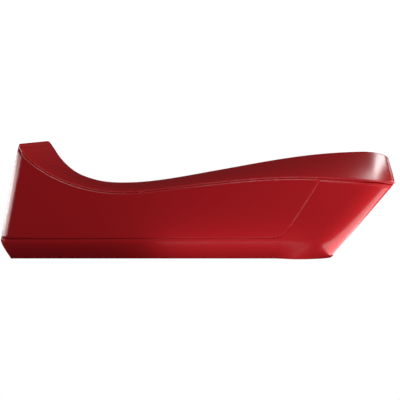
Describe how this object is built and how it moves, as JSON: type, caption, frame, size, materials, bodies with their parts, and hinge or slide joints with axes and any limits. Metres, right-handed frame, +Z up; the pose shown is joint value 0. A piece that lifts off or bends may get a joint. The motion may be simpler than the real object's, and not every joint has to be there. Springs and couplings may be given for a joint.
{
  "type": "newspaper vending box",
  "caption": "Long low newspaper vending box with a wave roof, raised head, raked prow, tucked skirt, drop-down windowed door and a coin head with drawer.",
  "frame": {"origin": "centre of the four anchor holes, in the plane of the base", "axes": "+Z up; X along the length with the raised head at -X and the raked prow at +X; +Y towards the customer's side with the door and coin slot"},
  "size_m": [1.3, 0.4763, 0.386],
  "materials": {
    "gloss_red_gelcoat": "high-gloss candy red moulding, polished",
    "red_painted_steel": "gloss red stove enamel on steel sheet",
    "galvanised_sheet": "bright galvanised sheet steel",
    "stainless_trim": "satin stainless steel",
    "zinc_hardware": "zinc-plated steel",
    "chromed_handle": "polished chrome",
    "black_steel": "satin black powder coat",
    "cast_ballast": "rough cast iron with black primer",
    "spring_steel": "oiled spring steel",
    "clear_pane": "clear glazing",
    "rubber_seal": "black moulded rubber",
    "brass_button": "turned brass, worn bright"
  },
  "bodies": {
    "cabinet": {"base_hull": "gloss_red_gelcoat", "base_plate": "galvanised_sheet", "rear_panel": "gloss_red_gelcoat", "rear_corner": "gloss_red_gelcoat", "end_panel": "gloss_red_gelcoat", "front_corner": "gloss_red_gelcoat", "front_fascia": "red_painted_steel", "roof_cover": "gloss_red_gelcoat", "coin_bulkhead": "galvanised_sheet", "prow_bulkhead": "galvanised_sheet", "bay_floor": "galvanised_sheet", "paper_guides": "galvanised_sheet", "paper_stop": "galvanised_sheet", "ballast_block": "cast_ballast", "ballast_bolts": "zinc_hardware", "door_stop_frame": "black_steel", "door_bumpers": "rubber_seal", "hinge_leaves_fixed": "stainless_trim", "hinge_pins": "stainless_trim", "door_springs": "spring_steel", "coin_mech_case": "galvanised_sheet", "coin_slot_bezel": "stainless_trim", "coin_chute": "galvanised_sheet", "cradle_pin": "zinc_hardware", "button_bush": "stainless_trim", "button_spring": "spring_steel", "return_cup": "stainless_trim", "flap_pin": "zinc_hardware", "cash_cage": "black_steel", "fascia_screws": "stainless_trim"},
    "door": {"door_panel": "red_painted_steel", "window_gasket": "rubber_seal", "door_window": "clear_pane", "window_retainer": "stainless_trim", "retainer_screws": "zinc_hardware", "door_handle": "chromed_handle", "handle_screws": "zinc_hardware", "door_keeper": "zinc_hardware", "bail_brackets": "zinc_hardware", "hinge_leaves_door": "stainless_trim"},
    "bail": {"display_bail": "zinc_hardware"},
    "latch": {"latch_hook": "zinc_hardware", "latch_shaft": "zinc_hardware"},
    "cradle": {"coin_cradle": "zinc_hardware"},
    "button": {"release_button": "brass_button"},
    "flap": {"return_flap": "stainless_trim"},
    "drawer": {"coin_drawer": "galvanised_sheet", "drawer_front": "red_painted_steel"},
    "lock": {"drawer_lock": "chromed_handle", "lock_cam": "zinc_hardware"}
  },
  "joints": [
    {"name": "door_hinge", "type": "hinge", "parent": "cabinet", "child": "door", "pos_m": [-0.015, 0.2265, 0.091], "axis": [-1, 0, 0], "range_deg": [0, 65], "stiffness_Nm_per_rad": 1.3, "springref_deg": -17.19, "deforming": ["door_springs"]},
    {"name": "bail_pivot", "type": "hinge", "parent": "door", "child": "bail", "pos_m": [-0.015, 0.2, 0.112], "axis": [1, 0, 0], "range_deg": [0, 35]},
    {"name": "latch_turn", "type": "hinge", "parent": "cabinet", "child": "latch", "pos_m": [-0.24, 0.14, 0.172], "axis": [-1, 0, 0], "range_deg": [0, 20], "stiffness_Nm_per_rad": 0.5, "springref_deg": -8.59},
    {"name": "cradle_tilt", "type": "hinge", "parent": "cabinet", "child": "cradle", "pos_m": [-0.481, 0.17, 0.172], "axis": [1, 0, 0], "range_deg": [0, 15]},
    {"name": "button_push", "type": "slide", "parent": "cabinet", "child": "button", "axis": [0, -1, 0], "range_m": [0, 0.006], "stiffness_N_per_m": 350, "springref_m": -0.002, "deforming": ["button_spring"]},
    {"name": "return_flap_hinge", "type": "hinge", "parent": "cabinet", "child": "flap", "pos_m": [-0.47, 0.211, 0.128], "axis": [-1, 0, 0], "range_deg": [0, 60]},
    {"name": "drawer_slide", "type": "slide", "parent": "cabinet", "child": "drawer", "axis": [-1, 0, 0], "range_m": [0, 0.18]},
    {"name": "drawer_lock_turn", "type": "hinge", "parent": "drawer", "child": "lock", "pos_m": [-0.63061, 0.1, 0.10228], "axis": [0.9763, 0, -0.2163], "range_deg": [0, 90]}
  ],
  "couplings": [
    {"joint": "cradle_tilt", "follows": "latch_turn", "ratio": 0.75}
  ]
}
